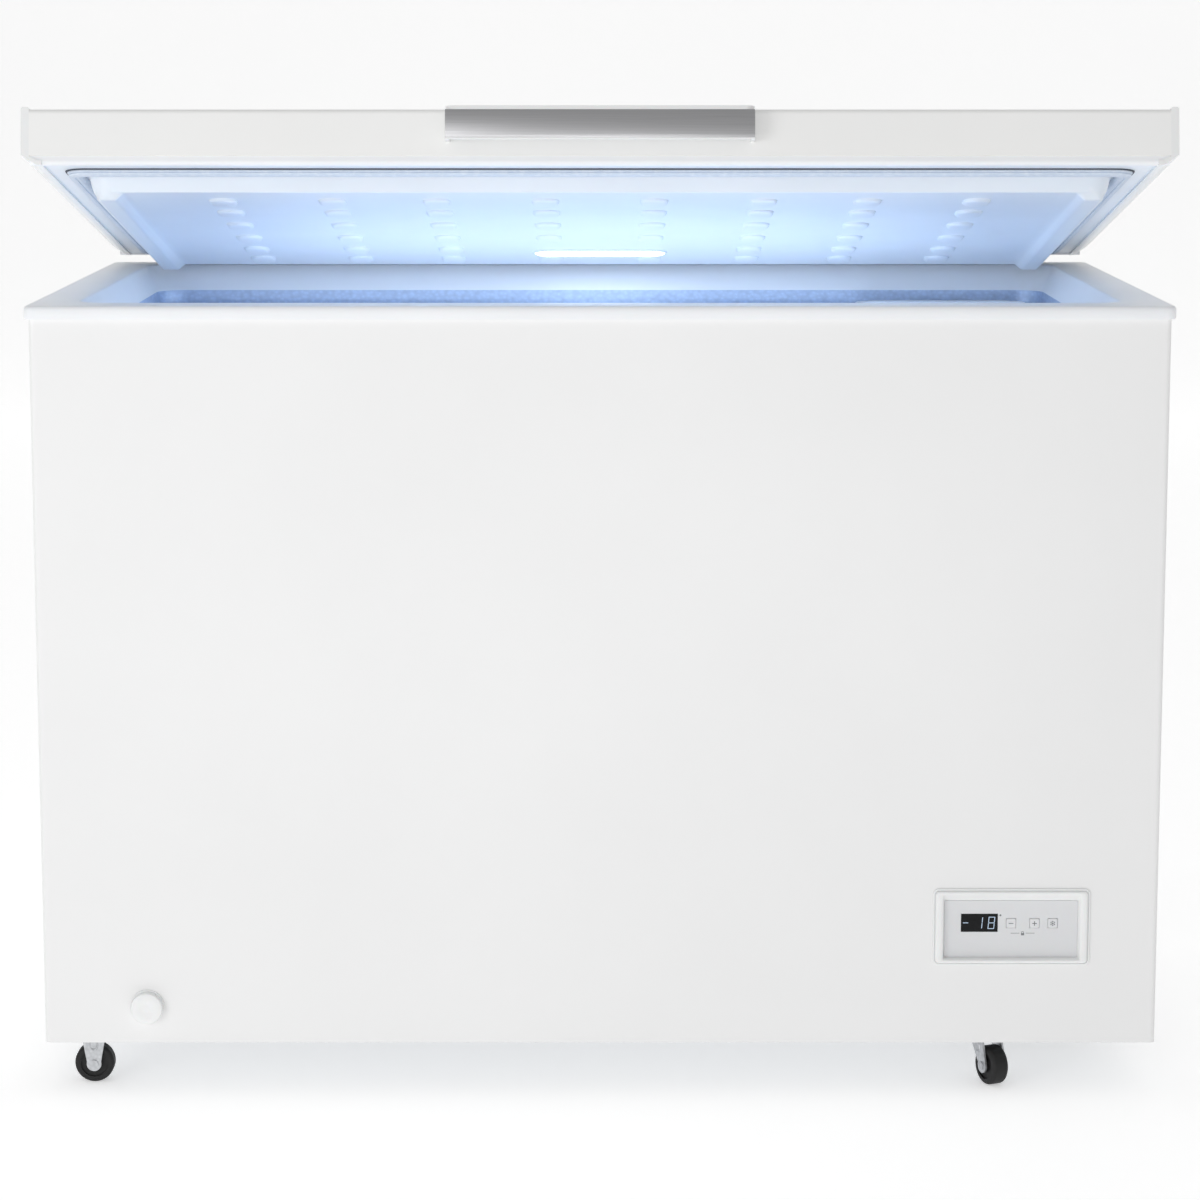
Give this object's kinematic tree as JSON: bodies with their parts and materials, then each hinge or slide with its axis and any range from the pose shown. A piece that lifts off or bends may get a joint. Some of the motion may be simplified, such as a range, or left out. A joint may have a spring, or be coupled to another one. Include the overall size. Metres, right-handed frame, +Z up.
{
  "type": "chest freezer",
  "caption": "Long white chest freezer on casters, with a spring-hinged lid standing part open, a deep metal-lined tank, a hanging wire basket, a control panel and a drain.",
  "frame": {"origin": "on the floor, under the middle of the cabinet", "axes": "+X to the right seen from the front, +Y to the back, +Z up; the front panel faces -Y"},
  "size_m": [1.131, 0.7065, 0.9888],
  "materials": {
    "white_steel": "satin",
    "white_plastic": "satin",
    "lid_lining": "satin",
    "galvanised": "satin",
    "zinc": "polished",
    "spring_steel": "satin",
    "foam": "matte",
    "liner_metal": "satin",
    "copper": "satin",
    "black_steel": "satin",
    "black_rubber": "matte",
    "black_plastic": "satin",
    "tread": "satin",
    "silver": "satin",
    "fascia": "satin",
    "display": "gloss",
    "lit_digits": "satin",
    "board": "satin",
    "sensor": "matte",
    "gasket": "matte",
    "lamp_body": "satin",
    "lamp_lens": "gloss",
    "coated_wire": "gloss"
  },
  "bodies": {
    "cabinet": {"cabinet_shell": "white_steel", "back_panel": "white_steel", "base_pan": "galvanised", "compressor_plate": "galvanised", "cabinet_foam": "foam", "tank_liner": "liner_metal", "top_trim": "white_plastic", "evaporator_tube": "copper", "condenser_tube": "copper", "compressor": "black_steel", "compressor_mounts": "black_rubber", "compressor_bolts": "zinc", "start_relay": "black_plastic", "filter_drier": "copper", "copper_lines": "copper", "rear_cover": "galvanised", "rear_cover_screws": "zinc", "cord_gland": "black_rubber", "control_bezel": "white_plastic", "control_fascia": "fascia", "display_lens": "display", "display_digits": "lit_digits", "control_board": "board", "control_box": "white_plastic", "drain_channel": "white_plastic", "temperature_sensor": "sensor", "rigid_forks": "zinc", "rigid_axles": "zinc", "swivel_plates": "zinc", "caster_screws": "zinc", "hinge_cabinet_leaves": "galvanised", "hinge_screws": "zinc", "hinge_pins": "zinc", "hinge_springs": "spring_steel"},
    "lid": {"lid_skin": "white_steel", "lid_end_strips": "white_plastic", "lid_liner": "lid_lining", "lid_foam": "foam", "lid_gasket": "gasket", "lamp_housing": "lamp_body", "lamp_lens": "lamp_lens", "handle_grip": "white_plastic", "handle_plate": "silver", "hinge_lid_leaves": "galvanised", "lid_screws": "zinc"},
    "basket": {"basket": "coated_wire"},
    "button_minus": {"button_minus": "white_plastic"},
    "button_plus": {"button_plus": "white_plastic"},
    "button_boost": {"button_boost": "white_plastic"},
    "drain_tube": {"drain_tube": "white_plastic"},
    "drain_cap": {"drain_cap": "white_plastic"},
    "floor_plug": {"floor_plug": "white_plastic"},
    "swivel_front": {"swivel_fork_front": "zinc", "swivel_axle_front": "zinc"},
    "swivel_rear": {"swivel_fork_rear": "zinc", "swivel_axle_rear": "zinc"},
    "wheel_left_front": {"wheel_left_front": "tread"},
    "wheel_left_rear": {"wheel_left_rear": "tread"},
    "wheel_right_front": {"wheel_right_front": "tread"},
    "wheel_right_rear": {"wheel_right_rear": "tread"}
  },
  "joints": [
    {"name": "lid_hinge", "type": "hinge", "parent": "cabinet", "child": "lid", "pos_m": [0, 0.352, 0.789], "axis": [-1, 0, 0], "range_deg": [-11, 74], "deforming": ["hinge_springs"]},
    {"name": "basket_slide", "type": "slide", "parent": "cabinet", "child": "basket", "axis": [-1, 0, 0], "range_m": [0, 0.77]},
    {"name": "minus_press", "type": "slide", "parent": "cabinet", "child": "button_minus", "axis": [0, 1, 0], "range_m": [0, 0.0008], "stiffness_N_per_m": 900},
    {"name": "plus_press", "type": "slide", "parent": "cabinet", "child": "button_plus", "axis": [0, 1, 0], "range_m": [0, 0.0008], "stiffness_N_per_m": 900},
    {"name": "boost_press", "type": "slide", "parent": "cabinet", "child": "button_boost", "axis": [0, 1, 0], "range_m": [0, 0.0008], "stiffness_N_per_m": 900},
    {"name": "drain_pull", "type": "slide", "parent": "cabinet", "child": "drain_tube", "axis": [0, -1, 0], "range_m": [0, 0.025]},
    {"name": "drain_turn", "type": "hinge", "parent": "drain_tube", "child": "drain_cap", "pos_m": [-0.4565, -0.34, 0.0875], "axis": [0, -1, 0], "range_deg": [0, 180]},
    {"name": "floor_plug_lift", "type": "slide", "parent": "cabinet", "child": "floor_plug", "axis": [0, 0, 1], "range_m": [0, 0.03]},
    {"name": "swivel_front_turn", "type": "hinge", "parent": "cabinet", "child": "swivel_front", "pos_m": [0.393, -0.2975, 0.05], "axis": [0, 0, 1], "continuous": true},
    {"name": "swivel_rear_turn", "type": "hinge", "parent": "cabinet", "child": "swivel_rear", "pos_m": [0.393, 0.2975, 0.05], "axis": [0, 0, 1], "continuous": true},
    {"name": "wheel_left_front_spin", "type": "hinge", "parent": "cabinet", "child": "wheel_left_front", "pos_m": [-0.5155, -0.2975, 0.02], "axis": [0, 1, 0], "continuous": true},
    {"name": "wheel_left_rear_spin", "type": "hinge", "parent": "cabinet", "child": "wheel_left_rear", "pos_m": [-0.5155, 0.2975, 0.02], "axis": [0, 1, 0], "continuous": true},
    {"name": "wheel_right_front_spin", "type": "hinge", "parent": "swivel_front", "child": "wheel_right_front", "pos_m": [0.39892, -0.31019, 0.02], "axis": [0.9063, 0.4226, 0], "continuous": true},
    {"name": "wheel_right_rear_spin", "type": "hinge", "parent": "swivel_rear", "child": "wheel_right_rear", "pos_m": [0.40447, 0.30553, 0.02], "axis": [-0.5736, 0.8192, 0], "continuous": true}
  ]
}
